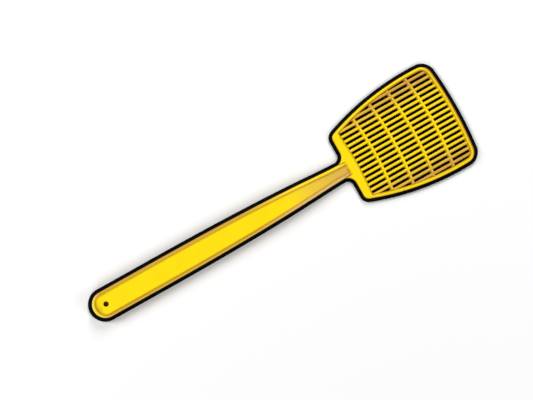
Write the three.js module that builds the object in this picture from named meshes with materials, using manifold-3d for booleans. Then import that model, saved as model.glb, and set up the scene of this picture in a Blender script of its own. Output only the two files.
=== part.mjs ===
// Fly swatter: a yellow moulded front screwed to a black backing, with a neck that bends.
// Millimetres. +X runs from the butt of the handle to the head, +Y across, +Z from the back to the
// yellow face. The origin is below the middle of the whole swatter, which lies on its back at Z 0.
import * as THREE from "three";
import { mergeVertices } from "three/addons/utils/BufferGeometryUtils.js";
import Module from "manifold-3d";

const wasm = await Module();
wasm.setup();

// Outline of the black backing
const LENGTH = 470;
const BUTT_X = -LENGTH / 2;
const FAR_X = LENGTH / 2;
const HANDLE_HALF = 19.2;
const NECK_HALF = 12.5;
const HEAD_HALF = 64.1;
const TAPER_FROM_X = -150;
const TAPER_PULL = 166; // how far the full width is held on into the taper
const NECK_PULL = 24; // how far the neck's width is held back into the taper
const SHOULDER_X = 91.3;
const NECK_FILLET = 6.7;
const SHOULDER_CORNER = 10.6;
const SIDE_RADIUS = 307;
const WIDEST_X = 204.4;
const FAR_CORNER = 17;
const FAR_RADIUS = 450;

// Clearances and the widths of the edges
const GAP = 0.3; // between pieces that touch
const BORDER = 4.1; // the backing stands out this far round the yellow front
const RAIL = 4; // width of the handle's raised rail
const BUTT_EXTRA = 1.3; // the rail is that much wider at the very butt
const RIM = 4.2; // width of the head's rim bead
const WALL = 2.2; // moulded wall of the handle shell
const RAIL_CHAMFER = 1;
const RIM_CHAMFER = 0.6;
const PLATE_CHAMFER = 0.3;
const OVER = 1; // cutting solids reach this far past what they cut

// Levels
const BACKING_TOP = 2;
const FRONT_Z = BACKING_TOP + GAP;
const RAIL_TOP = 10;
const FIELD_Z = 8.5;
const SLOPE_X = 16; // the handle gets thinner from here to the neck's end
const RAIL_END_TOP = 6.8;
const FIELD_END_Z = 5.1;
const HOLLOW_TOP = 5.9;
const HOLLOW_TO_X = 30;
const SHOULDER_TOP = 5;
const BARS_TOP = 4.3;
const RIB_TOP = 4.6;
const WEB_TOP = 3.2; // the low floor between the bars, which the slots pierce

// Where the handle, the neck and the head meet
const NECK_FROM_X = 50;
const HEAD_FROM_X = 84;
const STRAP_END_X = 95;
const WINGS_FROM_X = 88.5;
const STRAP_TIP_HALF = 8.2;
const END_LIP = { width: 1.2, top: 5.7 }; // closes the strap's recess towards the head
const STRAP_HOLLOW = { fromRoot: 4, fromHead: 2, half: 5.5, top: 3.9 };
const LAP = 12; // the neck's tongues reach this far into the handle and the head
const LAP_HALF = 9;
const LAP_Z = 1.2;
const NECK_LIFT = 0.6; // the neck's backing stands clear of the ground, so that it can bend
const NECK_BACKING_TOP = 1.9;
const TAIL_TOP = 4.6;

// Slots and ribs of the head
const ROWS = 9; // on each side of the row that lies on the centre line
const ROW_PITCH = 6.1;
const SLOT_WIDTH = 2.8;
const FIELD_FROM_X = 106.7;
const RIB_XS = [129.4, 154.1, 178.7, 203.2];
const FIELD_TO_X = FAR_X - BORDER - RIM;
const RIB_WIDTH = 2.4;
const RIB_SHIFT = 0.15; // a rib's middle from its place
const SLOT_STOP = 2.5; // the slots stop this far before a rib's place
const SLOT_START = 1.7; // and start again this far beyond it
const FIRST_SLOT_CLEAR = 0.5;
const LAST_SLOT_CLEAR = 1;
const BOW = 358; // radius of the curve that the ribs and the shoulder's edge follow

// Hang hole and fasteners
const HANG_X = -213.9;
const HANG_RADIUS = 3;
const HUB_RADIUS = 4.4;
const HUB_TOP = 6.9;
const HUB_WALL = 1.5;
const HUB_FROM_Z = 0.5;
const SHANK_RADIUS = 1;
const PILOT_RADIUS = 1.15;
const CLEAR_RADIUS = 1.3;
const SCREW_HEAD_RADIUS = 2.1;
const SCREW_HEAD_HEIGHT = 0.85;
const COUNTERBORE_RADIUS = 2.5;
const COUNTERBORE_DEPTH = 1.15;
const NECK_COUNTERBORE_DEPTH = 1.5; // through the cover to the neck's tongues
const ROUND_SIDES = 16;
const HOLE_SIDES = 24;
const HANDLE_SCREW_XS = [-185, -120, -55, 10];
const BOSS_RADIUS = 3.4;
const BOSS_SINK = 0.5; // the bosses run this far into the shell's roof
const HANDLE_PILOT_TOP = 7;
const NECK_PILOT_TOP = 6;
const HEAD_PILOT_TOP = 4.3;
const COVER_SCREW_Z = 0.25; // these screws' heads stand this far up from the back
const NECK_SCREW_Z = 0.3;
const TIP_CLEAR = 0.3; // from a screw's tip to the end of its pilot hole
const ROOT_SCREW = { x: 44, y: 4.8 };
const TIP_SCREW = { x: 90, y: 6.5 };

const YELLOW = { color: 0xffde00, roughness: 0.35, metalness: 0 };
const BLACK = { color: 0x0b0c10, roughness: 0.75, metalness: 0 };
const STEEL = { color: 0xa3a6a8, roughness: 0.35, metalness: 1 };

const swatter = new THREE.Group();
swatter.name = "fly_swatter";

// --- solids ---------------------------------------------------------------------------------------

// A closed three.js geometry as a solid that can be joined and cut.
function solid(geometry) {
  geometry.deleteAttribute("normal");
  geometry.deleteAttribute("uv");
  const merged = mergeVertices(geometry, 1e-4);
  return new wasm.Manifold(
    new wasm.Mesh({
      numProp: 3,
      vertProperties: merged.attributes.position.array,
      triVerts: new Uint32Array(merged.index.array),
    }),
  );
}

function addPiece(name, made, finish) {
  const { vertProperties, triVerts } = made.getMesh();
  const geometry = new THREE.BufferGeometry();
  geometry.setAttribute("position", new THREE.BufferAttribute(vertProperties, 3));
  geometry.setIndex(new THREE.BufferAttribute(triVerts, 1));
  geometry.computeVertexNormals();
  const piece = new THREE.Mesh(geometry, new THREE.MeshStandardMaterial(finish));
  piece.name = name;
  swatter.add(piece);
}

// A closed outline of points raised from z0 to z1, with its upper edge chamfered.
function slab(points, z0, z1, chamfer = 0) {
  const geometry = new THREE.ExtrudeGeometry(new THREE.Shape(points), {
    depth: z1 - z0 - chamfer,
    bevelEnabled: chamfer > 0,
    bevelThickness: chamfer,
    bevelSize: chamfer,
    bevelOffset: -chamfer,
    bevelSegments: 1,
  });
  const raised = solid(geometry.translate(0, 0, z0));
  return chamfer ? raised.subtract(block(-LENGTH, LENGTH, LENGTH, z0 - chamfer, z0)) : raised;
}

// A box from x0 to x1, reaching half to each side of the centre line, from z0 to z1.
function block(x0, x1, half, z0, z1) {
  const box = new THREE.BoxGeometry(x1 - x0, 2 * half, z1 - z0);
  return solid(box.translate((x0 + x1) / 2, 0, (z0 + z1) / 2));
}

function post(x, y, radius, z0, z1, sides = ROUND_SIDES) {
  const cylinder = new THREE.CylinderGeometry(radius, radius, z1 - z0, sides);
  return solid(cylinder.rotateX(Math.PI / 2).translate(x, y, (z0 + z1) / 2));
}

function union(solids) {
  return solids.reduce((sum, next) => sum.add(next));
}

// Everything above a level that stays at z0 up to SLOPE_X and then falls to z1 at the strap's end.
function above(z0, z1) {
  const past = (OVER * (z0 - z1)) / (STRAP_END_X - SLOPE_X);
  const profile = new THREE.Shape([
    new THREE.Vector2(BUTT_X - OVER, z0),
    new THREE.Vector2(SLOPE_X, z0),
    new THREE.Vector2(STRAP_END_X + OVER, z1 - past),
    new THREE.Vector2(STRAP_END_X + OVER, RAIL_TOP + 2 * OVER),
    new THREE.Vector2(BUTT_X - OVER, RAIL_TOP + 2 * OVER),
  ]);
  const wide = 2 * HEAD_HALF;
  const geometry = new THREE.ExtrudeGeometry(profile, { depth: wide, bevelEnabled: false });
  return solid(geometry.rotateX(Math.PI / 2).translate(0, wide / 2, 0));
}

// --- outline --------------------------------------------------------------------------------------

function arc(centre, radius, from, to, steps) {
  return new THREE.EllipseCurve(
    centre.x, centre.y, radius, radius, from, to, to < from,
  ).getPoints(steps);
}

// The centre of the circle of this radius that touches two larger circles from inside.
function nestled(a, radiusA, b, radiusB, radius) {
  const reachA = radiusA - radius;
  const reachB = radiusB - radius;
  const apart = a.distanceTo(b);
  const along = (reachA ** 2 - reachB ** 2 + apart ** 2) / (2 * apart);
  const off = Math.sqrt(reachA ** 2 - along ** 2);
  const way = b.clone().sub(a).normalize();
  return a.clone().addScaledVector(way, along).add(new THREE.Vector2(-way.y, way.x).multiplyScalar(off));
}

const farCentre = new THREE.Vector2(FAR_X - FAR_RADIUS, 0);
const sideCentre = new THREE.Vector2(WIDEST_X, HEAD_HALF - SIDE_RADIUS);

function headEdge() {
  const corner = nestled(farCentre, FAR_RADIUS, sideCentre, SIDE_RADIUS, FAR_CORNER);
  const shoulder = new THREE.Vector2(SHOULDER_X + SHOULDER_CORNER, 0);
  const reach = SIDE_RADIUS - SHOULDER_CORNER;
  shoulder.y = sideCentre.y + Math.sqrt(reach ** 2 - (sideCentre.x - shoulder.x) ** 2);
  const cornerFrom = corner.clone().sub(farCentre).angle();
  const sideFrom = corner.clone().sub(sideCentre).angle();
  const sideTo = shoulder.clone().sub(sideCentre).angle();
  return [
    ...arc(farCentre, FAR_RADIUS, 0, cornerFrom, 4),
    ...arc(corner, FAR_CORNER, cornerFrom, sideFrom, 8),
    ...arc(sideCentre, SIDE_RADIUS, sideFrom, sideTo, 12),
    ...arc(shoulder, SHOULDER_CORNER, sideTo, Math.PI, 6),
  ];
}

function handleEdge() {
  const filletCentre = new THREE.Vector2(SHOULDER_X - NECK_FILLET, NECK_HALF + NECK_FILLET);
  const taper = new THREE.CubicBezierCurve(
    new THREE.Vector2(filletCentre.x, NECK_HALF),
    new THREE.Vector2(filletCentre.x - NECK_PULL, NECK_HALF),
    new THREE.Vector2(TAPER_FROM_X + TAPER_PULL, HANDLE_HALF),
    new THREE.Vector2(TAPER_FROM_X, HANDLE_HALF),
  );
  const buttCentre = new THREE.Vector2(BUTT_X + HANDLE_HALF, 0);
  return [
    ...arc(filletCentre, NECK_FILLET, 0, -Math.PI / 2, 6),
    ...taper.getPoints(14),
    ...arc(buttCentre, HANDLE_HALF, Math.PI / 2, Math.PI, 12),
  ];
}

// The backing's outline, counter-clockwise, moved inwards by the inset.
function outline(inset) {
  const half = [...headEdge(), ...handleEdge()];
  const mirrored = half.map((p) => new THREE.Vector2(p.x, -p.y)).reverse();
  const loop = [...half, ...mirrored].filter((p, i, all) => p.distanceTo(all.at(i - 1)) > 0.01);
  const normal = (p, q) => new THREE.Vector2(p.y - q.y, q.x - p.x).normalize();
  return loop.map((p, i) => {
    const before = normal(loop.at(i - 1), p);
    const after = normal(p, loop[(i + 1) % loop.length]);
    const way = before.clone().add(after).normalize();
    return p.clone().addScaledVector(way, inset / way.dot(after));
  });
}

// The stretch of the outline between two planes across the swatter, as a slab.
function stretch(inset, x0, x1, z0, z1, chamfer = 0) {
  return slab(outline(inset), z0, z1, chamfer).intersect(block(x0, x1, LENGTH, z0 - 1, z1 + 1));
}

// --- holes for screws -----------------------------------------------------------------------------

const handleScrews = HANDLE_SCREW_XS.map((x) => ({ x, y: 0 }));
const rootScrews = [1, -1].map((side) => ({ x: ROOT_SCREW.x, y: side * ROOT_SCREW.y }));
const tipScrews = [1, -1].map((side) => ({ x: TIP_SCREW.x, y: side * TIP_SCREW.y }));

// Two on the shoulder, four under the rim's sides and two under its far edge.
function headScrewPlaces() {
  const inset = BORDER + RIM / 2;
  const around = (centre, radius, degrees) => {
    const angle = THREE.MathUtils.degToRad(degrees);
    return { x: centre.x + radius * Math.cos(angle), y: centre.y + radius * Math.sin(angle) };
  };
  const upper = [
    { x: 100, y: 27 },
    around(sideCentre, SIDE_RADIUS - inset, 102),
    around(sideCentre, SIDE_RADIUS - inset, 93.5),
    around(farCentre, FAR_RADIUS - inset, 3.6),
  ];
  return upper.flatMap((p) => [p, { x: p.x, y: -p.y }]);
}
const headScrews = headScrewPlaces();

function posts(places, radius, z0, z1) {
  return union(places.map((p) => post(p.x, p.y, radius, z0, z1)));
}

// A hole for a screw's head with a narrower one above it for the shank.
function counterbores(places) {
  const wide = posts(places, COUNTERBORE_RADIUS, -OVER, COUNTERBORE_DEPTH);
  return wide.add(posts(places, CLEAR_RADIUS, -OVER, BACKING_TOP + OVER));
}

// Room in a black backing for one of the neck's tongues.
function tongueRoom(x0, x1) {
  return block(x0, x1, LAP_HALF + GAP, LAP_Z - GAP, BACKING_TOP + OVER);
}

// Screws with a domed head and a pointed tip, whose pilot holes end at pilotTop.
function addScrews(name, places, headZ, pilotTop) {
  const headTop = headZ + SCREW_HEAD_HEIGHT;
  const tipZ = pilotTop - TIP_CLEAR;
  const dome = 0.3;
  const point = 0.7;
  const profile = [
    [0, headZ],
    [SCREW_HEAD_RADIUS - dome, headZ],
    [SCREW_HEAD_RADIUS, headZ + dome],
    [SCREW_HEAD_RADIUS, headTop],
    [SHANK_RADIUS, headTop],
    [SHANK_RADIUS, tipZ - point],
    [0, tipZ],
  ].map(([r, z]) => new THREE.Vector2(r, z));
  const screw = solid(new THREE.LatheGeometry(profile, ROUND_SIDES).rotateX(Math.PI / 2));
  places.forEach((p, i) => addPiece(`${name}_${i + 1}`, screw.translate([p.x, p.y, 0]), STEEL));
}

// --- handle ---------------------------------------------------------------------------------------

// The recess between the raised rails, with the step over the lip that closes it.
function fieldCut() {
  const top = RAIL_TOP + OVER;
  const between = slab(outline(BORDER + RAIL), FRONT_Z, top);
  const recess = between
    .intersect(between.translate([BUTT_EXTRA, 0, 0]))
    .intersect(block(BUTT_X, HEAD_FROM_X + OVER, LENGTH, 0, top));
  const half = NECK_HALF - BORDER - RAIL;
  const tip = block(HEAD_FROM_X, STRAP_END_X - END_LIP.width, half, FRONT_Z, top);
  const overLip = block(HEAD_FROM_X, STRAP_END_X + OVER, half, END_LIP.top, top);
  return recess.add(tip).intersect(above(FIELD_Z, FIELD_END_Z)).add(overLip);
}

function handleShell() {
  const body = stretch(BORDER, BUTT_X, NECK_FROM_X - GAP / 2, FRONT_Z, RAIL_TOP, RAIL_CHAMFER);
  const hollow = stretch(BORDER + WALL, BUTT_X, HOLLOW_TO_X, FRONT_Z - OVER, HOLLOW_TOP);
  const bossTop = HOLLOW_TOP + BOSS_SINK;
  const bosses = posts(handleScrews, BOSS_RADIUS, FRONT_Z, bossTop);
  const roomRadius = HUB_RADIUS + GAP;
  const hubWall = post(HANG_X, 0, roomRadius + HUB_WALL, FRONT_Z, bossTop, HOLE_SIDES);
  const hubRoom = post(HANG_X, 0, roomRadius, FRONT_Z - OVER, HUB_TOP + GAP, HOLE_SIDES);
  const tailFrom = NECK_FROM_X - LAP - GAP;
  const tailRoom = block(tailFrom, NECK_FROM_X + OVER, LAP_HALF + GAP, 0, TAIL_TOP + GAP);
  return body
    .subtract(above(RAIL_TOP, RAIL_END_TOP))
    .subtract(fieldCut())
    .subtract(hollow)
    .add(bosses)
    .add(hubWall)
    .subtract(hubRoom)
    .subtract(post(HANG_X, 0, HANG_RADIUS, 0, RAIL_TOP, HOLE_SIDES))
    .subtract(tailRoom)
    .subtract(posts(handleScrews, PILOT_RADIUS, 0, HANDLE_PILOT_TOP))
    .subtract(posts(rootScrews, PILOT_RADIUS, 0, NECK_PILOT_TOP));
}

function handleBackCover() {
  const plate = stretch(0, BUTT_X - OVER, NECK_FROM_X - GAP / 2, 0, BACKING_TOP, PLATE_CHAMFER);
  const hub = post(HANG_X, 0, HUB_RADIUS, HUB_FROM_Z, HUB_TOP, HOLE_SIDES);
  return plate
    .add(hub)
    .subtract(post(HANG_X, 0, HANG_RADIUS, -OVER, RAIL_TOP, HOLE_SIDES))
    .subtract(tongueRoom(NECK_FROM_X - LAP - GAP, NECK_FROM_X + OVER))
    .subtract(counterbores(handleScrews))
    .subtract(posts(rootScrews, COUNTERBORE_RADIUS, -OVER, NECK_COUNTERBORE_DEPTH));
}

// --- neck -----------------------------------------------------------------------------------------

// Thin between its rails and hollow below, so that it bends; its two ends are held flat.
function neckStrap() {
  const bend = stretch(BORDER, NECK_FROM_X + GAP / 2, HEAD_FROM_X, FRONT_Z, RAIL_TOP);
  const tip = block(HEAD_FROM_X - OVER, STRAP_END_X, STRAP_TIP_HALF, FRONT_Z, RAIL_TOP);
  const tail = block(NECK_FROM_X - LAP, NECK_FROM_X + OVER, LAP_HALF, FRONT_Z, TAIL_TOP);
  const { fromRoot, fromHead, half, top } = STRAP_HOLLOW;
  const hollow = block(NECK_FROM_X + fromRoot, HEAD_FROM_X - fromHead, half, 0, top);
  return bend
    .add(tip)
    .subtract(above(RAIL_TOP, RAIL_END_TOP))
    .subtract(fieldCut())
    .add(tail)
    .subtract(hollow)
    .subtract(posts(rootScrews, CLEAR_RADIUS, 0, TAIL_TOP + OVER))
    .subtract(posts(tipScrews, PILOT_RADIUS, 0, NECK_PILOT_TOP));
}

function neckBacking() {
  const bend = stretch(0, NECK_FROM_X + GAP / 2, HEAD_FROM_X - GAP / 2, NECK_LIFT, NECK_BACKING_TOP);
  const tongues = block(NECK_FROM_X - LAP, HEAD_FROM_X + LAP, LAP_HALF, LAP_Z, NECK_BACKING_TOP);
  return bend
    .add(tongues)
    .subtract(posts([...rootScrews, ...tipScrews], CLEAR_RADIUS, 0, BACKING_TOP + OVER));
}

// --- head -----------------------------------------------------------------------------------------

// A curve across the head that bows towards its far end, as the points at each row's height.
function bowed(x, y) {
  return x - (BOW - Math.sqrt(BOW ** 2 - y ** 2));
}

// Everything to the left of such a curve.
function leftOf(x, z0, z1) {
  const reach = HEAD_HALF;
  const edge = Array.from({ length: 21 }, (_, i) => reach * (i / 10 - 1));
  const points = edge.map((y) => new THREE.Vector2(bowed(x, y), y));
  points.push(new THREE.Vector2(0, reach), new THREE.Vector2(0, -reach));
  return slab(points, z0, z1);
}

function ribs() {
  const rib = (x) => {
    const upToFarSide = leftOf(x + RIB_WIDTH / 2, FRONT_Z, RIB_TOP);
    return upToFarSide.subtract(leftOf(x - RIB_WIDTH / 2, 0, RIB_TOP + OVER));
  };
  return union(RIB_XS.map((x) => rib(x + RIB_SHIFT)));
}

// The valleys between the bars, down to the web.
function valleys() {
  const rows = Array.from({ length: 2 * ROWS + 1 }, (_, i) => (i - ROWS) * ROW_PITCH);
  return union(
    rows.map((y) => {
      const valley = new THREE.BoxGeometry(FAR_X - SHOULDER_X, SLOT_WIDTH, SHOULDER_TOP);
      return solid(valley.translate((FAR_X + SHOULDER_X) / 2, y, WEB_TOP + SHOULDER_TOP / 2));
    }),
  );
}

function slots() {
  const starts = [FIELD_FROM_X + FIRST_SLOT_CLEAR, ...RIB_XS.map((x) => x + SLOT_START)];
  const ends = [...RIB_XS.map((x) => x - SLOT_STOP), FIELD_TO_X - LAST_SLOT_CLEAR];
  const cuts = [];
  for (let row = -ROWS; row <= ROWS; row += 1) {
    const y = row * ROW_PITCH;
    starts.forEach((start, column) => {
      const from = bowed(start, y);
      const to = bowed(ends[column], y);
      const cut = new THREE.BoxGeometry(to - from, SLOT_WIDTH, SHOULDER_TOP);
      cuts.push(solid(cut.translate((from + to) / 2, y, SHOULDER_TOP / 2)));
    });
  }
  return union(cuts);
}

function headGrille() {
  const body = stretch(BORDER, WINGS_FROM_X, FAR_X, FRONT_Z, SHOULDER_TOP, RIM_CHAMFER);
  const inside = slab(outline(BORDER + RIM), 0, SHOULDER_TOP + OVER).subtract(
    leftOf(FIELD_FROM_X, -OVER, SHOULDER_TOP + 2 * OVER),
  );
  const lowered = inside.intersect(block(0, FAR_X, LENGTH, BARS_TOP, SHOULDER_TOP + OVER));
  const strapRoom = block(0, STRAP_END_X + GAP, STRAP_TIP_HALF + GAP, 0, RAIL_TOP);
  return body
    .subtract(lowered)
    .subtract(valleys().intersect(inside))
    .add(ribs().intersect(inside))
    .subtract(slots().intersect(inside))
    .subtract(strapRoom)
    .subtract(posts(headScrews, PILOT_RADIUS, 0, HEAD_PILOT_TOP));
}

function headBacking() {
  const plate = stretch(0, HEAD_FROM_X + GAP / 2, FAR_X + OVER, 0, BACKING_TOP, PLATE_CHAMFER);
  return plate
    .subtract(tongueRoom(HEAD_FROM_X - OVER, HEAD_FROM_X + LAP + GAP))
    .subtract(counterbores(headScrews))
    .subtract(posts(tipScrews, COUNTERBORE_RADIUS, -OVER, NECK_COUNTERBORE_DEPTH));
}

addPiece("handle_shell", handleShell(), YELLOW);
addPiece("handle_back_cover", handleBackCover(), BLACK);
addPiece("neck_strap", neckStrap(), YELLOW);
addPiece("neck_backing", neckBacking(), BLACK);
addPiece("head_grille", headGrille(), YELLOW);
addPiece("head_backing", headBacking(), BLACK);
addScrews("handle_screw", handleScrews, COVER_SCREW_Z, HANDLE_PILOT_TOP);
addScrews("neck_root_screw", rootScrews, NECK_SCREW_Z, NECK_PILOT_TOP);
addScrews("neck_tip_screw", tipScrews, NECK_SCREW_Z, NECK_PILOT_TOP);
addScrews("head_screw", headScrews, COVER_SCREW_Z, HEAD_PILOT_TOP);

export default swatter;
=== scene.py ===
import math

import bmesh
import bpy
import numpy as np
from mathutils import Matrix, Vector


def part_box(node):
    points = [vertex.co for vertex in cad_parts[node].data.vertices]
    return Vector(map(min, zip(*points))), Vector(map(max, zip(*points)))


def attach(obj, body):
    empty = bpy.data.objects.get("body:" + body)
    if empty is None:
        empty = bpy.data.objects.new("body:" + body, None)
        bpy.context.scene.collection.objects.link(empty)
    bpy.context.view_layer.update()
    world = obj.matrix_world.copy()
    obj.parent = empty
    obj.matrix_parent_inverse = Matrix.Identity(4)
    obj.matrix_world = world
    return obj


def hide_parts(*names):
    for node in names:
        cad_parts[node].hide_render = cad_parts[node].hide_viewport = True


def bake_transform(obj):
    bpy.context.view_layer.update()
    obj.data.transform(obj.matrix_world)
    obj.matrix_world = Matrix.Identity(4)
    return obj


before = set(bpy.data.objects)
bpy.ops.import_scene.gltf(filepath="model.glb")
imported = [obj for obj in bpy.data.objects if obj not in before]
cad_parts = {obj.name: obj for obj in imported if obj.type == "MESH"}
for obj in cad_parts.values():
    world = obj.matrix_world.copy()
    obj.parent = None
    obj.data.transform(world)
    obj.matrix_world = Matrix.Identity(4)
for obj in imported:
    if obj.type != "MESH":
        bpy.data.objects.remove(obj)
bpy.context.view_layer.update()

# A fly swatter: yellow polypropylene mouldings screwed to black ones, with a neck that bends.
# Lengths here are in millimetres, and MM turns them into the frame's metres.
MM = 0.001


def span(node):
    """A CAD node's lowest and highest corner, in millimetres."""
    low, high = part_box(node)
    return np.array(low) / MM, np.array(high) / MM


# ---- sizes taken from the frame ------------------------------------------------------------------

cover_low, cover_high = span("handle_back_cover")
backing_low, backing_high = span("head_backing")
shell_low, shell_high = span("handle_shell")
grille_low, grille_high = span("head_grille")
strap_low, strap_high = span("neck_strap")
neck_low, neck_high = span("neck_backing")

BUTT_X = cover_low[0]
FAR_X = backing_high[0]
HANDLE_HALF = cover_high[1]
HEAD_HALF = backing_high[1]
BORDER = shell_low[0] - BUTT_X  # the black stands out this far round the yellow
BACKING_TOP = backing_high[2]
RAIL_TOP = shell_high[2]
SHOULDER_TOP = grille_high[2]
SEAM_X = (shell_high[0] + cover_high[0]) / 2  # handle meets neck
STRAP_END_X = strap_high[0]
HEAD_FROM_X = backing_low[0]
WINGS_FROM_X = grille_low[0]
NECK_LIFT = neck_low[2]

# ---- sizes that the frame's boxes don't give -----------------------------------------------------

SEAM = 0.06  # fine parting line between the visible pieces
FRONT_Z = BACKING_TOP + 0.02  # the yellow pieces start a hair above the black ones

NECK_HALF = 12.5
TAPER_FROM_X = -150  # the handle's sides run straight up to here
TAPER_PULL, NECK_PULL = 166, 24  # how far each end of the taper's curve keeps its direction
SHOULDER_X = 91.3
NECK_FILLET = 6.7
SHOULDER_CORNER = 10.6
SIDE_RADIUS = 307
WIDEST_X = 204.4
FAR_CORNER = 17
FAR_RADIUS = 450

RAIL = 4  # width of the handle's raised rail
RIM = 4.2  # width of the head's bead
FIELD_Z = 8.5
SLOPE_X = 16  # rail and field start to fall here, to these levels at the strap's end
RAIL_END_TOP, FIELD_END_Z = 6.8, 5.1
BUTT_EXTRA = 1.4  # the rail is that much wider round the butt
BUTT_BORDER = 0.6  # and the black border too
WIDENS_FROM, WIDENS_OVER = 1.2, 3.0  # the stretch of the rail's width that takes up the extra
TIP_DRAFT = 0.5  # the strap's tip narrows by that on each side
LIP = 1.2  # closes the recess at the strap's end
LIP_INSET = 3.2  # the lip's sides from the strap's, so that it runs into both rails

HANG_X = -213.9
HANG_RADIUS = 3
WALL = 2.2  # thickness of the handle's sides
HOLLOW_TO_X = 30
HOLLOW_TOP = 5.9
BOSS_FOOT, BOSS_TIP, BOSS_TOP = 3.4, 3.2, 6.4  # two radii and the level where the boss ends
HUB_RADIUS, HUB_FROM, HUB_TOP = 4.4, 0.8, 6.9  # black tube round the hang hole
HUB_ROOM_RADIUS, HUB_ROOM_TOP = 4.7, 7.2  # what it stands in
HUB_WALL_RADIUS = 6.2

ROWS = 9
ROW_PITCH = 6.1
SLOT_WIDTH = 3.05
FIELD_FROM_X = 106.7
RIB_FROM_X = 129.4
RIB_PITCH = 24.6
RIBS = 4
SLOT_STOP, SLOT_START = 2.5, 1.7  # from a rib to the slots before and beyond it
FIRST_SLOT_CLEAR, LAST_SLOT_CLEAR = 0.5, 1
FIELD_TO_X = FAR_X - BORDER - RIM
BOW = 358  # radius of the ribs across the head
SHEET_TOP = 3.2
BAR_SIDE_TOP, BAR_CREST = 3.3, 4.4
RIB_CREST = 4.6
RIB_SHIFT = 0.15  # a rib's middle from its place
LATTICE_LAP = 0.3  # the lattice runs that far into the bead and the shoulder

SCREW_HEAD_RADIUS = 2.1
SCREW_HOLE_RADIUS = 1.3
COUNTERBORE_RADIUS = 2.5
COUNTERBORE_DEPTH = 1.15
PILOT_RADIUS = 1.15
HANDLE_PILOT_TOP, HEAD_PILOT_TOP = 7, 4.3

CUT_FROM = 1  # a cutter that opens a yellow piece's underside starts here
ABOVE = 9  # over the top of what it cuts
SPARE = 5  # a cutter stands out that far past the outline
PAST_END = 20  # the railed edge runs on that far past the strap's end
NECK_KEPT = 30  # a head piece is first made with that much of the neck

SHARP = math.radians(32)  # edges that turn more than this stay crisp
FINE_STEP, LONG_STEP, NECK_STEP = 0.8, 3, 1.1  # from point to point on small arcs, long ones and the neck
CHUNK = 2000  # points whose distances are worked out at a time


# ---- outline -------------------------------------------------------------------------------------


def arc(centre, radius, start, end, step):
    """Points along an arc, about one step apart."""
    count = max(3, round(abs(end - start) * radius / step))
    angles = np.linspace(start, end, count + 1)
    return np.column_stack([np.cos(angles), np.sin(angles)]) * radius + centre


def nestled(a, reach_a, b, reach_b):
    """The point that far from a and from b, on the left of the way from a to b."""
    way = (b - a) / np.linalg.norm(b - a)
    apart = np.linalg.norm(b - a)
    along = (reach_a**2 - reach_b**2 + apart**2) / (2 * apart)
    off = math.sqrt(reach_a**2 - along**2)
    return a + way * along + np.array([-way[1], way[0]]) * off


def head_edge():
    """Upper half of the head's black edge, from the far end to the shoulder."""
    far = np.array([FAR_X - FAR_RADIUS, 0])
    side = np.array([WIDEST_X, HEAD_HALF - SIDE_RADIUS])
    corner = nestled(far, FAR_RADIUS - FAR_CORNER, side, SIDE_RADIUS - FAR_CORNER)
    reach = SIDE_RADIUS - SHOULDER_CORNER
    shoulder_x = SHOULDER_X + SHOULDER_CORNER
    shoulder_y = side[1] + math.sqrt(reach**2 - (side[0] - shoulder_x) ** 2)
    shoulder = np.array([shoulder_x, shoulder_y])
    to_corner = math.atan2(*(corner - far)[::-1])
    to_side = math.atan2(*(corner - side)[::-1])
    to_shoulder = math.atan2(*(shoulder - side)[::-1])
    return np.vstack([
        arc(far, FAR_RADIUS, 0, to_corner, LONG_STEP),
        arc(corner, FAR_CORNER, to_corner, to_side, FINE_STEP)[1:],
        arc(side, SIDE_RADIUS, to_side, to_shoulder, LONG_STEP)[1:],
        arc(shoulder, SHOULDER_CORNER, to_shoulder, math.pi, FINE_STEP)[1:],
    ])


def neck_edge(x_from, x_to):
    """Upper edge of the handle and the neck from x_from down to x_to, read off a smooth curve."""
    tangent_x = SHOULDER_X - NECK_FILLET
    t = np.linspace(0, 1, 800)[:, None]
    p = np.array([
        (tangent_x, NECK_HALF),
        (tangent_x - NECK_PULL, NECK_HALF),
        (TAPER_FROM_X + TAPER_PULL, HANDLE_HALF),
        (TAPER_FROM_X, HANDLE_HALF),
    ])
    curve = (1 - t) ** 3 * p[0] + 3 * (1 - t) ** 2 * t * p[1] + 3 * (1 - t) * t**2 * p[2] + t**3 * p[3]
    x = np.linspace(x_from, x_to, max(2, round((x_from - x_to) / NECK_STEP)))
    y = np.interp(x, curve[::-1, 0], curve[::-1, 1], left=HANDLE_HALF, right=NECK_HALF)
    return np.column_stack([x, y])


def butt_edge():
    centre = np.array([BUTT_X + HANDLE_HALF, 0])
    return arc(centre, HANDLE_HALF, math.pi / 2, math.pi, FINE_STEP)[1:]


def handle_edge():
    """The handle's upper edge from the seam to the very butt."""
    return np.vstack([neck_edge(SEAM_X - SEAM / 2, BUTT_X + HANDLE_HALF), butt_edge()])


def moved_in(path, inset, closed):
    """A counter-clockwise path moved inwards, with the ends of an open one kept square to X."""
    if closed:
        ahead, behind = np.roll(path, -1, 0), np.roll(path, 1, 0)
    else:
        ahead, behind = np.vstack([path[1:], path[-1:]]), np.vstack([path[:1], path[:-1]])
    after, before = ahead - path, path - behind
    if not closed:
        before[0], after[-1] = after[0], before[-1]
    after /= np.linalg.norm(after, axis=1)[:, None]
    before /= np.linalg.norm(before, axis=1)[:, None]
    normal_after = np.column_stack([-after[:, 1], after[:, 0]])
    normal = normal_after + np.column_stack([-before[:, 1], before[:, 0]])
    normal /= np.linalg.norm(normal, axis=1)[:, None]
    inset = np.broadcast_to(inset, len(path))
    shift = normal * (inset / np.sum(normal * normal_after, axis=1))[:, None]
    if not closed:
        for end in (0, -1):
            across = abs(shift[end, 0]) > abs(shift[end, 1])
            shift[end] = (inset[end], 0) if across else (0, -inset[end])
    return path + shift


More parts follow.
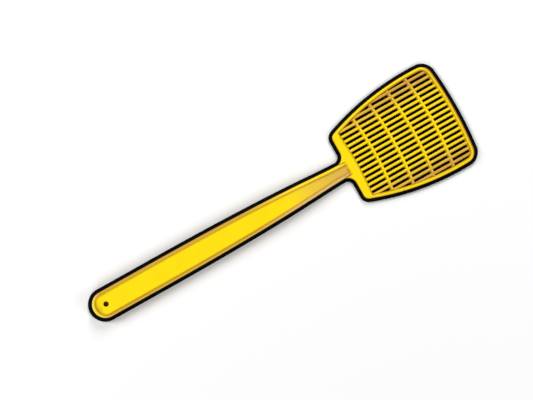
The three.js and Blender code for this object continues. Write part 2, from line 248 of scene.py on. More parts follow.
def railed_edge():
    """The black edge of the handle and the neck, carried on well past the strap's end."""
    upper = np.vstack([neck_edge(STRAP_END_X + PAST_END, BUTT_X + HANDLE_HALF), butt_edge()])
    return np.vstack([upper, upper[:-1][::-1] * (1, -1)])


def whole_outline():
    """The black edge all round, counter-clockwise from the far end."""
    fillet = np.array([SHOULDER_X - NECK_FILLET, NECK_HALF + NECK_FILLET])
    upper = np.vstack([
        head_edge(),
        arc(fillet, NECK_FILLET, 0, -math.pi / 2, FINE_STEP),
        neck_edge(SHOULDER_X - NECK_FILLET, BUTT_X + HANDLE_HALF)[1:],
        butt_edge(),
    ])
    lower = upper[:-1][::-1] * (1, -1)
    return np.vstack([upper, lower])


OUTLINE = whole_outline()
LOOP = OUTLINE[:-1]
NEAR_HEAD = LOOP[LOOP[:, 0] > HEAD_FROM_X - NECK_KEPT]
RAILED_EDGE = railed_edge()


def bowed(x, y):
    """The curve across the head that bows towards its far end, as x at each y."""
    return x - (BOW - np.sqrt(BOW**2 - np.asarray(y) ** 2))


# ---- meshes --------------------------------------------------------------------------------------


def new_object(name, points, faces):
    """A mesh object from points in millimetres, with doubles merged and faces turned outwards."""
    mesh = bpy.data.meshes.new(name)
    mesh.from_pydata((np.asarray(points, float) * MM).tolist(), [], faces)
    made = bmesh.new()
    made.from_mesh(mesh)
    bmesh.ops.remove_doubles(made, verts=made.verts, dist=0.002 * MM)
    bmesh.ops.dissolve_degenerate(made, edges=made.edges, dist=0.001 * MM)
    bmesh.ops.recalc_face_normals(made, faces=made.faces)
    made.to_mesh(mesh)
    made.free()
    obj = bpy.data.objects.new(name, mesh)
    bpy.context.scene.collection.objects.link(obj)
    return obj


def loft(name, loops):
    """Closed loops of equal length joined by side walls, with a flat cap at each end."""
    count = len(loops[0])
    faces = [list(range(count))[::-1], [count * (len(loops) - 1) + i for i in range(count)]]
    for k in range(len(loops) - 1):
        for i in range(count):
            j = (i + 1) % count
            faces.append([k * count + i, k * count + j, (k + 1) * count + j, (k + 1) * count + i])
    return new_object(name, np.vstack(loops), faces)


def level(loop, z):
    return np.column_stack([loop, np.full(len(loop), float(z))])


def slab(name, loop, z0, z1):
    return loft(name, [level(loop, z0), level(loop, z1)])


def rectangle(x0, x1, half):
    return np.array([(x0, -half), (x1, -half), (x1, half), (x0, half)])


def box(name, x0, x1, half, z0, z1):
    return slab(name, rectangle(x0, x1, half), z0, z1)


def turned(name, x, y, profile, sides=40):
    """A solid of revolution about the vertical line at x, y, from (radius, z) pairs."""
    angles = np.arange(sides) * 2 * math.pi / sides
    ring = np.column_stack([np.cos(angles), np.sin(angles)])
    return loft(name, [level(ring * r + (x, y), z) for r, z in profile])


def butt_share(x):
    """1 at the very butt, falling to 0 where the handle's sides become straight."""
    share = np.clip((BUTT_X + HANDLE_HALF - x) / HANDLE_HALF, 0, 1)
    return share**2


def mirrored_strip(name, upper, section):
    """A body that is the same on both sides of the centre line, as strips across it.

    upper is its edge from right to left, and closes the butt where it ends on the centre line.
    section goes in from that edge as (inset, level) pairs, where level gives z for each x."""
    closes = abs(upper[-1, 1]) < 1e-6
    rings = []
    for inset, z_of in section:
        wider = 0
        if closes and inset >= BORDER:
            wider = BUTT_BORDER + BUTT_EXTRA * np.clip((inset - BORDER - WIDENS_FROM) / WIDENS_OVER, 0, 1)
        ring = moved_in(upper, inset + wider * butt_share(upper[:, 0]), closed=False)
        rings.append(np.column_stack([ring, z_of(ring[:, 0])]))
    count, rows = len(upper), len(rings)
    top = np.vstack(rings)
    points = np.vstack([top, top * (1, -1, 1)])
    low = rows * count
    faces = []
    for k in range(rows - 1):
        for i in range(count - 1):
            a, b = k * count + i, (k + 1) * count + i
            faces.append([a, a + 1, b + 1, b])
            faces.append([low + a, low + b, low + b + 1, low + a + 1])
    for k in (0, rows - 1):
        for i in range(count - 1):
            a = k * count + i
            faces.append([a, a + 1, low + a + 1, low + a])
    ends = [0] if closes else [0, count - 1]
    for end in ends:
        column = [k * count + end for k in range(rows)]
        faces.append(column + [low + c for c in reversed(column)])
    return new_object(name, points, faces)


def evaluated(obj):
    """The object's mesh with its modifiers applied, and the modifiers gone."""
    depsgraph = bpy.context.evaluated_depsgraph_get()
    mesh = bpy.data.meshes.new_from_object(obj.evaluated_get(depsgraph), depsgraph=depsgraph)
    obj.modifiers.clear()
    obj.data = mesh
    return obj


def boolean(obj, operation, *others):
    """Joins the others to obj, cuts them from it or keeps what they share, and removes them."""
    for other in others:
        modifier = obj.modifiers.new(operation, "BOOLEAN")
        modifier.operation = operation
        modifier.solver = "MANIFOLD"
        modifier.object = other
    bpy.context.view_layer.update()
    evaluated(obj)
    for other in others:
        bpy.data.objects.remove(other)
    return obj


def finish_mesh(obj, material, body=None, edge=None):
    """Smooth shading with crisp edges, the place attributes, the material and the body it rides on."""
    mesh = obj.data
    made = bmesh.new()
    made.from_mesh(mesh)
    bmesh.ops.remove_doubles(made, verts=made.verts, dist=0.004 * MM)
    bmesh.ops.dissolve_degenerate(made, edges=made.edges, dist=0.002 * MM)
    made.to_mesh(mesh)
    made.free()
    mesh.shade_smooth()
    mesh.set_sharp_from_angle(angle=SHARP)
    weighted = obj.modifiers.new("weighted", "WEIGHTED_NORMAL")
    weighted.keep_sharp = True
    bpy.context.view_layer.update()
    mesh = evaluated(obj).data
    store_places(mesh, OUTLINE if edge is None else edge)
    mesh.materials.clear()
    mesh.materials.append(material)
    if body:
        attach(obj, body)
    return obj


def butt_widening(points, inset):
    """How much of each point's inset comes from the border and the rail growing wider round the butt."""
    way = points - (BUTT_X + HANDLE_HALF, 0)
    share = np.clip(-way[:, 0] / np.maximum(np.linalg.norm(way, axis=1), 0.1), 0, 1) ** 2
    border, extra = BUTT_BORDER * share, BUTT_EXTRA * share
    return border + extra * np.clip((inset - border - BORDER - WIDENS_FROM) / (WIDENS_OVER + extra), 0, 1)


def store_places(mesh, edge):
    """Stores two millimetre values per vertex: its distance in from the black edge, and its place
    along the head with the bow of the ribs taken out."""
    co = np.zeros(len(mesh.vertices) * 3)
    mesh.vertices.foreach_get("co", co)
    points = co.reshape(-1, 3)[:, :2] / MM
    a, b = edge[:-1], edge[1:]
    run = b - a
    length2 = np.sum(run**2, axis=1)
    inset = np.empty(len(points))
    for start in range(0, len(points), CHUNK):
        p = points[start : start + CHUNK, None, :]
        t = np.clip(np.sum((p - a) * run, axis=2) / length2, 0, 1)
        near = a + t[..., None] * run
        inset[start : start + CHUNK] = np.sqrt(np.min(np.sum((p - near) ** 2, axis=2), axis=1))
    if edge is RAILED_EDGE:
        inset -= butt_widening(points, inset)
    along = points[:, 0] - bowed(0, points[:, 1])
    for name, values in (("inset", inset), ("along", along)):
        attribute = mesh.attributes.new(name, "FLOAT", "POINT")
        attribute.data.foreach_set("value", values.astype(np.float32))


# ---- nodes ---------------------------------------------------------------------------------------


def node(tree, kind, inputs=None, stops=None, **settings):
    """Adds one node with its settings, its colour stops and what goes into each socket."""
    made = tree.nodes.new(kind)
    for key, value in settings.items():
        setattr(made, key, value)
    for key, value in (inputs or {}).items():
        socket = made.inputs[key]
        for item in value if isinstance(value, list) else [value]:
            if isinstance(item, bpy.types.NodeSocket):
                tree.links.new(item, socket)
            else:
                socket.default_value = item
    if stops:
        elements = made.color_ramp.elements
        while len(elements) < len(stops):
            elements.new(1)
        for element, (place, colour) in zip(elements, stops):
            element.position = place
            element.color = colour
    return made


def linear(code):
    """An sRGB hex colour as linear RGBA."""
    parts = [int(code[i : i + 2], 16) / 255 for i in (1, 3, 5)]
    return (*[c / 12.92 if c <= 0.04045 else ((c + 0.055) / 1.055) ** 2.4 for c in parts], 1)


# ---- materials -----------------------------------------------------------------------------------


def new_material(name):
    material = bpy.data.materials.new(name)
    material.use_nodes = True
    material.node_tree.nodes.clear()
    return material, material.node_tree


def masked(tree, under, colour, mask):
    """Lays a colour over another where the mask is 1."""
    mix = node(tree, "ShaderNodeMix", {0: mask, 6: under, 7: colour}, data_type="RGBA")
    return mix.outputs[2]


def ramp(tree, source, points):
    """Follows the source through (value, colour) points, where a colour is a hex code or a grey."""
    low, high = points[0][0], points[-1][0]
    share = node(tree, "ShaderNodeMapRange", {0: source, 1: low, 2: high})
    stops = [
        ((v - low) / (high - low), linear(c) if isinstance(c, str) else (c, c, c, 1)) for v, c in points
    ]
    return node(tree, "ShaderNodeValToRGB", {0: share.outputs[0]}, stops).outputs[0]


def times(tree, a, b):
    return node(tree, "ShaderNodeMath", {0: a, 1: b}, operation="MULTIPLY").outputs[0]


def stored(tree, name):
    return node(tree, "ShaderNodeAttribute", attribute_name=name).outputs["Fac"]


def yellow_plastic(name, paint_shade_and_highlights):
    """Injection-moulded polypropylene in a strong yellow, from a lightly polished tool.

    It gives the eye a clean saturated field with a low gloss and a soft highlight along each crest from the
    lamps.
    Over it go painted shade, a deeper, more orange yellow on faces that turn away and in low places, and
    painted highlights."""
    material, tree = new_material(name)
    place = node(tree, "ShaderNodeTexCoord").outputs["Object"]
    cloud = node(tree, "ShaderNodeTexNoise", {"Vector": place, "Scale": 1 / (18 * MM), "Detail": 2})
    base = node(
        tree, "ShaderNodeValToRGB", {0: cloud.outputs[0]},
        [(0.3, linear("#FFDB00")), (0.7, linear("#FFE000"))],
    ).outputs[0]
    # Each piece's painted shade and painted highlights go over the base yellow here.
    colour = paint_shade_and_highlights(tree, node(tree, "ShaderNodeSeparateXYZ", {0: place}).outputs, base)
    # Spark-eroded grain of the tool, about 0.3 mm, and the slow waves left by uneven cooling.
    grain = node(tree, "ShaderNodeTexNoise", {"Vector": place, "Scale": 1 / (0.35 * MM), "Detail": 3})
    waves = node(tree, "ShaderNodeTexNoise", {"Vector": place, "Scale": 1 / (9 * MM), "Detail": 1})
    fine = node(
        tree, "ShaderNodeBump",
        {"Height": grain.outputs[0], "Distance": 0.012 * MM, "Strength": 0.5},
    )
    bump = node(
        tree, "ShaderNodeBump",
        {"Height": waves.outputs[0], "Distance": 0.05 * MM, "Strength": 0.35, "Normal": fine.outputs[0]},
    )
    rough = node(tree, "ShaderNodeMapRange", {0: cloud.outputs[0], 3: 0.5, 4: 0.6})
    shader = node(
        tree, "ShaderNodeBsdfPrincipled",
        {
            "Base Color": colour, "Roughness": rough.outputs[0], "IOR": 1.49,
            "Specular IOR Level": 0.22, "Normal": bump.outputs[0],
        },
    )
    node(tree, "ShaderNodeOutputMaterial", {"Surface": shader.outputs[0]})
    return material


def from_edge(tree):
    """How far in from the yellow's own edge, in millimetres."""
    inset = stored(tree, "inset")
    return node(tree, "ShaderNodeMath", {0: inset, 1: BORDER}, operation="SUBTRACT").outputs[0]


def railed_shade_and_highlights(tree, xyz, base):
    """Painted light and shade over the handle's and the neck's yellow: tan rails with an orange
    painted-shade flank and a brown painted shadow at the foot along the shank, a painted cream highlight and
    yellow round the butt, yellow on the neck's upper side, and a field painted tan as shade where it sinks
    deeper towards the neck."""
    inset = from_edge(tree)
    # Painted shade: the field turns tan towards the neck, where it sinks deeper between the rails.
    neck_field_shade = ramp(tree, xyz[0], [(0, 0.0), (20 * MM, 0.05), (50 * MM, 0.56), (78 * MM, 0.95), (95 * MM, 1.0)])
    field = masked(tree, base, linear("#DCB248"), neck_field_shade)
    # Painted shade and painted highlight across each rail, set apart for the upper and the lower side as the
    # lamps fall differently on each.
    upper_shank = ramp(tree, inset, [
        (0, "#C28B0C"), (0.8, "#C09212"), (1.5, "#C09528"), (2.3, "#CBA350"), (3.0, "#DCB240"),
        (3.6, "#E9BC24"), (4.1, "#FAD608"),
    ])
    lower_shank = ramp(tree, inset, [
        (0, "#DDA516"), (0.8, "#F4C236"), (1.5, "#EABE50"), (2.3, "#C09838"), (3.0, "#AE8410"),
        (3.6, "#B58C05"), (4.1, "#D6B602"),
    ])
    # Painted cream highlight on the butt's outer edge, and a painted brown shadow at its inner foot.
    butt = ramp(tree, inset, [
        (0, "#C8A236"), (0.6, "#FBE474"), (1.4, "#FFF05A"), (2.4, "#FFE41A"), (2.9, "#F2CA10"),
        (3.4, "#C4920A"), (3.85, "#A27608"), (4.4, "#A27608"), (4.75, "#F4D200"),
    ])
    # Painted shade and painted highlight on the neck's rails, lighter on the upper side than on the lower.
    upper_neck = ramp(tree, inset, [
        (0, "#E6AC0E"), (0.8, "#F8CB14"), (1.7, "#F5D520"), (2.6, "#F6DD40"), (3.1, "#DAB022"),
        (3.6, "#E5B922"), (4.1, "#FCCE1C"),
    ])
    lower_neck = ramp(tree, inset, [
        (0, "#E4AA2C"), (0.8, "#F4C668"), (1.7, "#F2D092"), (2.6, "#DCB468"), (3.1, "#B88820"),
        (3.6, "#B88820"), (4.1, "#E0B040"),
    ])
    past_butt = ramp(tree, xyz[0], [(-229 * MM, 0.0), (-216 * MM, 1.0)])
    on_neck = ramp(tree, xyz[0], [(-30 * MM, 0.0), (35 * MM, 1.0)])
    upper = ramp(tree, xyz[1], [(-1 * MM, 0.0), (1 * MM, 1.0)])
    shank = masked(tree, lower_shank, upper_shank, upper)
    necks = masked(tree, lower_neck, upper_neck, upper)
    rails = masked(tree, butt, shank, past_butt)
    rails = masked(tree, rails, necks, on_neck)
    # The field's colour starts at the rail's inner foot, half a millimetre farther in round the butt.
    reach = node(tree, "ShaderNodeMath", {0: past_butt, 1: 0.5, 2: inset}, operation="MULTIPLY_ADD")
    colour = masked(tree, rails, field, ramp(tree, reach.outputs[0], [(4.5, 0.0), (4.8, 1.0)]))
    # A painted brown shadow line where the field meets the lip at the strap's end.
    end_shadow_line = ramp(tree, xyz[0], [
        (92.6 * MM, 0.0), (92.9 * MM, 0.5), (93.5 * MM, 0.5), (93.9 * MM, 0.1),
        (94.6 * MM, 0.0), (95 * MM, 0.3),
    ])
    return masked(tree, colour, linear("#B8880E"), end_shadow_line)


def grille_shade(tree, xyz, base):
    """Painted shade on the head: a rim with a tan painted-shade outer edge and a brown painted-shade inner
    flank, a lattice painted tan as shade towards both sides and brown as shade on its low parts, and a
    painted brown shadow line where the shoulder drops to it."""
    inset, along = from_edge(tree), stored(tree, "along")
    from_middle = node(tree, "ShaderNodeMath", {0: xyz[1]}, operation="ABSOLUTE").outputs[0]
    # Painted shade: the bead's outer edge turns tan.
    rim = masked(tree, base, linear("#C8920E"), ramp(tree, inset, [(0, 0.9), (0.6, 0.35), (1.1, 0.0)]))
    # Painted shade on the far rim: a brown outer band, a yellow crest and tan towards the inner flank.
    far_rim = ramp(tree, inset, [
        (0, "#A87A0A"), (0.8, "#B07E0A"), (1.4, "#CC980A"), (2.0, "#F2CC06"), (2.6, "#FFE002"),
        (3.3, "#FFDC00"), (3.8, "#DCB008"), (4.3, "#C4940E"),
    ])
    # Painted shade: the bead's inner flank turns brown beyond the shoulder.
    flank_shade = ramp(tree, inset, [(2.1, 0.0), (2.8, 0.35), (3.4, 0.75), (4.1, 1.0)])
    past_shoulder = ramp(tree, along, [(FIELD_FROM_X - 1.5, 0.0), (FIELD_FROM_X - 0.5, 1.0)])
    rim = masked(tree, rim, linear("#B4850E"), times(tree, flank_shade, past_shoulder))
    rim = masked(tree, rim, far_rim, ramp(tree, xyz[0], [(221 * MM, 0.0), (226 * MM, 1.0)]))
    # Painted shade: the lattice turns tan towards both sides of the head.
    sides = ramp(tree, from_middle, [(30 * MM, 0.0), (40 * MM, 0.5), (52 * MM, 1.0)])
    lattice = masked(tree, base, linear("#D3A242"), sides)
    # Painted shade: the lattice's low parts, the sheet between the bars and ribs, turn brown.
    depth_shade = ramp(tree, xyz[2], [(3.1 * MM, 1.0), (3.45 * MM, 0.75), (3.9 * MM, 0.25), (4.25 * MM, 0.0)])
    lattice = masked(tree, lattice, linear("#BE8A0A"), depth_shade)
    inside = times(tree, ramp(tree, inset, [(4.0, 0.0), (4.4, 1.0)]), past_shoulder)
    colour = masked(tree, rim, lattice, inside)
    # A painted brown shadow line where the shoulder drops to the lattice.
    line = ramp(tree, along, [
        (FIELD_FROM_X - 1.0, 0.0), (FIELD_FROM_X - 0.7, 0.6), (FIELD_FROM_X - 0.3, 0.6), (FIELD_FROM_X, 0.0),
    ])
    within = ramp(tree, inset, [(2.8, 0.0), (3.4, 1.0)])
    return masked(tree, colour, linear("#B4820C"), times(tree, line, within))


def black_plastic():
    """Injection-moulded black polypropylene from a spark-eroded tool.

    It gives the eye a flat, deep black that hardly shines, with a fine even grain."""
    material, tree = new_material("black_polypropylene_spark_eroded")
    place = node(tree, "ShaderNodeTexCoord").outputs["Object"]
    grain = node(tree, "ShaderNodeTexNoise", {"Vector": place, "Scale": 1 / (0.4 * MM), "Detail": 4})
    patch = node(tree, "ShaderNodeTexNoise", {"Vector": place, "Scale": 1 / (25 * MM), "Detail": 2})
    base = node(
        tree, "ShaderNodeValToRGB", {0: patch.outputs[0]},
        [(0.3, linear("#020307")), (0.75, linear("#05070D"))],
    )
    rough = node(tree, "ShaderNodeMapRange", {0: grain.outputs[0], 3: 0.52, 4: 0.72})
    bump = node(
        tree, "ShaderNodeBump",
        {"Height": grain.outputs[0], "Distance": 0.04 * MM, "Strength": 0.6},
    )
    shader = node(
        tree, "ShaderNodeBsdfPrincipled",
        {
            "Base Color": base.outputs[0], "Roughness": rough.outputs[0], "IOR": 1.49,
            "Specular IOR Level": 0.08, "Normal": bump.outputs[0],
        },
    )
    node(tree, "ShaderNodeOutputMaterial", {"Surface": shader.outputs[0]})
    return material


def screw_steel():
    """Cold-headed steel with bright zinc plating.

    It gives the eye a pale, slightly bluish metal with faint blotches of wear."""
    material, tree = new_material("zinc_plated_cold_headed_steel")
    place = node(tree, "ShaderNodeTexCoord").outputs["Object"]
    blotch = node(tree, "ShaderNodeTexNoise", {"Vector": place, "Scale": 1 / (1.2 * MM), "Detail": 3})
    base = node(
        tree, "ShaderNodeValToRGB", {0: blotch.outputs[0]},
        [(0.3, linear("#A9ADB2")), (0.7, linear("#C9CDD2"))],
    )
    rough = node(tree, "ShaderNodeMapRange", {0: blotch.outputs[0], 3: 0.25, 4: 0.45})
    shader = node(
        tree, "ShaderNodeBsdfPrincipled",
        {"Base Color": base.outputs[0], "Roughness": rough.outputs[0], "Metallic": 1.0},
    )
    node(tree, "ShaderNodeOutputMaterial", {"Surface": shader.outputs[0]})
    return material


YELLOW_RAILED = yellow_plastic("yellow_polypropylene_moulded_rails", railed_shade_and_highlights)
YELLOW_GRILLE = yellow_plastic("yellow_polypropylene_moulded_grille", grille_shade)
BLACK = black_plastic()
ZINC = screw_steel()


# ---- handle and neck -----------------------------------------------------------------------------


def fall(x):
    """How far along the thinning stretch x is: 0 up to its start, 1 at the strap's end."""
    share = np.clip((x - SLOPE_X) / (STRAP_END_X - SLOPE_X), 0, 1)
    return share**1.35


def rail_top(x):
    return RAIL_TOP + (RAIL_END_TOP - RAIL_TOP) * fall(x)


def field_level(x):
    return FIELD_Z + (FIELD_END_Z - FIELD_Z) * fall(x)


def from_foot(share, drop=0):
    """A level that share of the way from the backing up to the rail's top, less a drop."""
    return lambda x: FRONT_Z + (rail_top(x) - FRONT_Z) * share - drop


def from_field(rise=0):
    return lambda x: field_level(x) + rise


def flat(z):
    return lambda x: np.full(len(x), float(z))


# Across one rail from its outer foot over the crest to the field: (inset from the black edge, level).
RAIL_SECTION = [
    (BORDER, from_foot(0)),
    (BORDER + 0.25, from_foot(0.3)),
    (BORDER + 0.75, from_foot(0.62)),
    (BORDER + 1.25, from_foot(0.86)),
    (BORDER + 1.55, from_foot(1, 0.5)),
    (BORDER + 1.85, from_foot(1, 0.2)),
    (BORDER + 2.1, from_foot(1, 0.05)),
    (BORDER + 2.4, from_foot(1)),
    (BORDER + 2.65, from_foot(1, 0.06)),
    (BORDER + 2.9, from_foot(1, 0.25)),
    (BORDER + 3.05, from_foot(1, 0.5)),
    (BORDER + 3.35, from_field(0.5)),
    (BORDER + 3.6, from_field(0.2)),
    (BORDER + 3.8, from_field(0.05)),
    (BORDER + RAIL, from_field()),
    (BORDER + RAIL + 0.4, from_field()),
]


def plate_section(foot):
    """The black plate's rounded edge: (inset, level)."""
    top = BACKING_TOP
    return [
        (0.5, foot), (0.18, foot + 0.1), (0.03, foot + 0.28), (0, foot + 0.5), (0, top - 0.5),
        (0.03, top - 0.28), (0.18, top - 0.1), (0.5, top),
    ]


def screw_nodes(*kinds):
    return sorted(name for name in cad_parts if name.startswith(kinds))


def screw_place(name):
    """The middle of a CAD screw and the level of its head's face."""
    low, high = span(name)
    return (low[0] + high[0]) / 2, (low[1] + high[1]) / 2, low[2]


def screw_middles(kind):
    return [screw_place(name)[:2] for name in screw_nodes(kind)]


handle_screws = screw_middles("handle_screw")
root_screws = screw_middles("neck_root_screw")
tip_screws = screw_middles("neck_tip_screw")
head_screws = screw_middles("head_screw")


def pilots(places, top):
    return [turned("pilot", x, y, [(PILOT_RADIUS, CUT_FROM), (PILOT_RADIUS, top)], 24) for x, y in places]


def make_handle():
    handle = mirrored_strip("handle_front_moulding", handle_edge(), RAIL_SECTION)
    inner = moved_in(LOOP, BORDER + WALL, closed=True)
    hollow = slab("hollow", inner[inner[:, 0] < HOLLOW_TO_X], CUT_FROM, HOLLOW_TOP)
    boolean(handle, "DIFFERENCE", hollow)
    boss = [(BOSS_FOOT, FRONT_Z), (BOSS_TIP, BOSS_TOP)]
    bosses = [turned("boss", x, y, boss) for x, y in handle_screws]
    bosses.append(turned("hub_wall", HANG_X, 0, [(HUB_WALL_RADIUS, FRONT_Z), (HUB_WALL_RADIUS, BOSS_TOP)]))
    boolean(handle, "UNION", *bosses)
    cuts = pilots(handle_screws + root_screws, HANDLE_PILOT_TOP)
    hub_room = [(HUB_ROOM_RADIUS, CUT_FROM), (HUB_ROOM_RADIUS, HUB_ROOM_TOP)]
    cuts.append(turned("hub_room", HANG_X, 0, hub_room))
    # The hang hole's mouth is eased all round.
    mouth = [(HANG_RADIUS, CUT_FROM), (HANG_RADIUS, FIELD_Z - 0.6), (HANG_RADIUS + 0.15, FIELD_Z - 0.2)]
    mouth += [(HANG_RADIUS + 0.55, FIELD_Z + 0.02), (HANG_RADIUS + 0.6, FIELD_Z + 1)]
    cuts.append(turned("hang_hole", HANG_X, 0, mouth, 64))
    boolean(handle, "DIFFERENCE", *cuts)
    finish_mesh(handle, YELLOW_RAILED, "handle", RAILED_EDGE)
    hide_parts("handle_shell")


def strap_edge(x_from):
    """The neck's upper edge from the strap's end to x_from, with the strap's tip drawn in a little."""
    edge = neck_edge(STRAP_END_X, x_from)
    share = np.clip((edge[:, 0] - HEAD_FROM_X) / (STRAP_END_X - HEAD_FROM_X), 0, 1)
    edge[:, 1] -= TIP_DRAFT * share
    return edge


def make_neck():
    neck = mirrored_strip("neck_moulding", strap_edge(SEAM_X + SEAM / 2), RAIL_SECTION)
    lip = loft("end_lip", [
        level(rectangle(x0, x1, NECK_HALF - BORDER - LIP_INSET), z) for x0, x1, z in (
            (STRAP_END_X - LIP, STRAP_END_X, FRONT_Z + 0.5),
            (STRAP_END_X - LIP + 0.1, STRAP_END_X, FIELD_END_Z + 0.4),
            (STRAP_END_X - LIP + 0.4, STRAP_END_X - 0.15, FIELD_END_Z + 0.6),
        )
    ])
    boolean(neck, "UNION", lip)
    finish_mesh(neck, YELLOW_RAILED, edge=RAILED_EDGE)
    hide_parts("neck_strap")
    return neck


def make_neck_backing():
    edge = neck_edge(HEAD_FROM_X - SEAM / 2, SEAM_X + SEAM / 2)
    section = [(inset, flat(z)) for inset, z in plate_section(NECK_LIFT)]
    backing = mirrored_strip("neck_backing_moulding", edge, section)
    finish_mesh(backing, BLACK)
    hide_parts("neck_backing")
    return backing


def counterbores(places):
    wide = [(COUNTERBORE_RADIUS, -1), (COUNTERBORE_RADIUS, COUNTERBORE_DEPTH)]
    narrow = [(SCREW_HOLE_RADIUS, 0.5), (SCREW_HOLE_RADIUS, BACKING_TOP + 1)]
    cuts = [turned("counterbore", x, y, wide) for x, y in places]
    return cuts + [turned("screw_hole", x, y, narrow) for x, y in places]


def make_back_cover():
    section = [(inset, flat(z)) for inset, z in plate_section(0)]
    cover = mirrored_strip("handle_back_moulding", handle_edge(), section)
    boolean(cover, "UNION", turned("hub", HANG_X, 0, [(HUB_RADIUS, HUB_FROM), (HUB_RADIUS, HUB_TOP)]))
    hole = [(HANG_RADIUS + 0.5, -0.1), (HANG_RADIUS, 0.4), (HANG_RADIUS, ABOVE)]
    through = turned("hang_hole", HANG_X, 0, hole, 64)
    boolean(cover, "DIFFERENCE", through, *counterbores(handle_screws + root_screws))
    finish_mesh(cover, BLACK, "handle")
    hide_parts("handle_back_cover")


# ---- head ----------------------------------------------------------------------------------------


def spaced(path, count):
    """The path with count points evenly spaced along it."""
    run = np.concatenate([[0], np.cumsum(np.linalg.norm(np.diff(path, axis=0), axis=1))])
    even = np.linspace(0, run[-1], count)
    return np.column_stack([np.interp(even, run, path[:, k]) for k in (0, 1)])


def slotted_field(rim_inset, line_x):
    """The loop inside the rim bead and beyond the shoulder's bowed edge, always of as many points."""
    ring = moved_in(LOOP, rim_inset, closed=True)
    upper = ring[(ring[:, 1] > 0) & (ring[:, 0] > SHOULDER_X + 3)]
    beyond = upper[:, 0] - bowed(line_x, upper[:, 1])
    last = np.flatnonzero(beyond > 0)[-1]
    share = beyond[last] / (beyond[last] - beyond[last + 1])
    meet = upper[last] + (upper[last + 1] - upper[last]) * share
    upper = np.vstack([[(FAR_X - rim_inset, 0)], upper[: last + 1], [meet]])
    rim = spaced(np.vstack([upper[::-1] * (1, -1), upper[1:]]), 260)
    y = np.linspace(meet[1], -meet[1], 61)[1:-1]
    return np.vstack([rim, np.column_stack([bowed(line_x, y), y])])


def bar_shape():
    """One long bar with a crowned top, lying along X about the centre line."""
    half = (ROW_PITCH - SLOT_WIDTH) / 2
    angles = np.linspace(0, math.pi, 13)
    crown = [(half * math.cos(a), BAR_SIDE_TOP + (BAR_CREST - BAR_SIDE_TOP) * math.sin(a)) for a in angles]
    section = np.array([(-half, FRONT_Z), (half, FRONT_Z), *crown])
    ends = (FIELD_FROM_X - 8, FIELD_TO_X + 4)  # past the field at both
    loops = [np.column_stack([np.full(len(section), x), section]) for x in ends]
    return loft("bar_shape", loops)


def rib_shape():
    """One rib across the head, along the bowed curve, at x 0."""
    half = [(1.5, SHEET_TOP - 0.5), (1.35, SHEET_TOP + 0.2), (1.2, RIB_CREST - 0.7)]
    half += [(0.95, RIB_CREST - 0.25), (0.55, RIB_CREST - 0.05), (0.15, RIB_CREST)]
    section = np.array(half + [(-x, z) for x, z in reversed(half)])
    loops = []
    for y in np.linspace(-HEAD_HALF, HEAD_HALF, 81):
        x = bowed(RIB_SHIFT, y) + section[:, 0]
        loops.append(np.column_stack([x, np.full(len(x), y), section[:, 1]]))
    return loft("rib_shape", loops)


def slot_shape():
    """One slot's cutter, 1 mm long, about the origin."""
    return box("slot_shape", -0.5, 0.5, SLOT_WIDTH / 2, 0, ABOVE)


def slot_places():
    """A vertex in the middle of each slot, with the slot's length as an attribute."""
    ribs = RIB_FROM_X + RIB_PITCH * np.arange(RIBS)
    starts = [FIELD_FROM_X + FIRST_SLOT_CLEAR, *(ribs + SLOT_START)]
    ends = [*(ribs - SLOT_STOP), FIELD_TO_X - LAST_SLOT_CLEAR]
    y = np.arange(-ROWS, ROWS + 1) * ROW_PITCH
    points = [(bowed((a + b) / 2, v), v, 0) for v in y for a, b in zip(starts, ends)]
    lengths = [b - a for _ in y for a, b in zip(starts, ends)]
    mesh = bpy.data.meshes.new("slot_places")
    mesh.from_pydata((np.array(points) * MM).tolist(), [], [])
    attribute = mesh.attributes.new("slot_length", "FLOAT", "POINT")
    attribute.data.foreach_set("value", np.array(lengths, np.float32))
    obj = bpy.data.objects.new("grille_lattice", mesh)
    bpy.context.scene.collection.objects.link(obj)
    return obj


